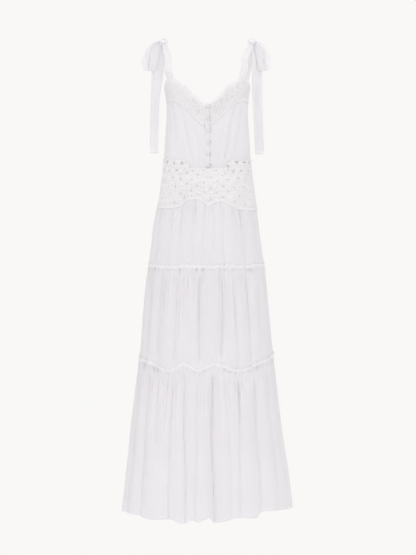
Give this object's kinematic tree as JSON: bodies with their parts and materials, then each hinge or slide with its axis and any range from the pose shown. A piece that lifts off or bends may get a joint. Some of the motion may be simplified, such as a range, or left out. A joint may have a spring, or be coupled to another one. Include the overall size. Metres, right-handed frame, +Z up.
{
  "type": "maxi dress",
  "caption": "Tiered off-white cotton maxi dress with bow-tied straps, lace cups, a buttoned bodice, a cutwork lace waist and frilled seams, filled out hollow as worn.",
  "frame": {"origin": "midway between the two shoulder points, under the knots of the straps, where the straps bear on the wearer", "axes": "+Z up, the dress's front faces -Y, +X is the wearer's left"},
  "size_m": [0.5428, 0.4224, 1.496],
  "materials": {
    "cotton": "thin plain-woven cotton, matt, softly creased and gathered",
    "lace": "heavy cotton lace with raised motifs and cut holes, matt",
    "trim": "narrow frills of the same cotton, a little whiter, matt",
    "button": "small off-white ball buttons with a soft gloss"
  },
  "bodies": {
    "root": {"bodice_back": "cotton", "bodice_front_left": "cotton", "bodice_front_right": "cotton", "cup_lining_right": "cotton", "cup_lining_left": "cotton", "tier_1_back": "cotton", "tier_1_front": "cotton", "tier_2_back": "cotton", "tier_2_front": "cotton", "tier_3_back": "cotton", "tier_3_front": "cotton", "strap_back_left": "cotton", "strap_back_right": "cotton", "strap_front_left": "cotton", "strap_front_right": "cotton", "knot_left": "cotton", "knot_right": "cotton", "loop_back_left": "cotton", "loop_back_right": "cotton", "loop_front_left": "cotton", "loop_front_right": "cotton", "tail_back_left": "cotton", "tail_back_right": "cotton", "tail_front_left": "cotton", "tail_front_right": "cotton", "cup_left": "lace", "cup_right": "lace", "back_lace": "lace", "waist_lace_back": "lace", "waist_lace_front": "lace", "back_edging": "trim", "cup_edging_left": "trim", "cup_edging_right": "trim", "heading_1_back": "trim", "heading_1_front": "trim", "heading_2_back": "trim", "heading_2_front": "trim", "placket": "trim", "waist_edging_back": "trim", "waist_edging_front": "trim", "button_1": "button", "button_2": "button", "button_3": "button", "button_4": "button", "button_5": "button", "button_6": "button"}
  },
  "joints": []
}
